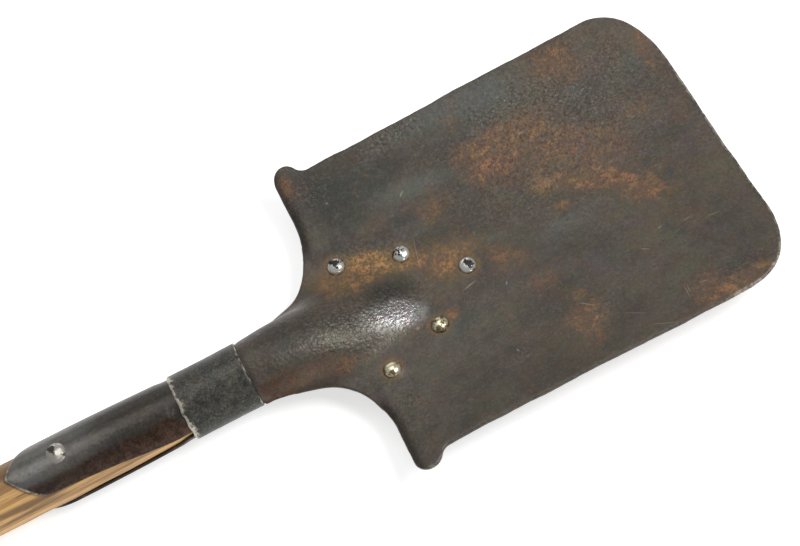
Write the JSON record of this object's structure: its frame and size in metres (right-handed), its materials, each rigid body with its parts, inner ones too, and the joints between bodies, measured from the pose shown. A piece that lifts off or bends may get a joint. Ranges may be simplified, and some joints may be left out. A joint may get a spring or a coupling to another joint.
{
  "type": "camp shovel",
  "caption": "Short fixed-blade entrenching spade: square dished steel blade with rolled foot treads, riveted split socket, collar and round wooden handle with a knob.",
  "frame": {"origin": "middle of the bottom of the spade's box: halfway along its length, on the handle's middle plane, at the height of the knob's lowest point when the blade's hollow front faces up", "axes": "+X along the handle towards the blade's far edge, +Y across the blade, +Z out of the blade's hollow front, where the ridge and the domed rivet heads are"},
  "size_m": [0.5036, 0.162, 0.04],
  "materials": {
    "blade_steel": "aged dark steel, worn and rust-stained",
    "strap_steel": "dark brown-black aged steel",
    "collar_steel": "dull grey steel with bright worn rims",
    "rivet_steel": "worn bright steel",
    "handle_wood": "bare golden-brown hardwood with dark streaks"
  },
  "bodies": {
    "root": {"blade": "blade_steel", "rear_strap": "strap_steel", "collar": "collar_steel", "handle": "handle_wood", "blade_rivet_1": "rivet_steel", "blade_rivet_2": "rivet_steel", "blade_rivet_3": "rivet_steel", "blade_rivet_4": "rivet_steel", "blade_rivet_5": "rivet_steel", "handle_rivet": "rivet_steel"}
  },
  "joints": []
}
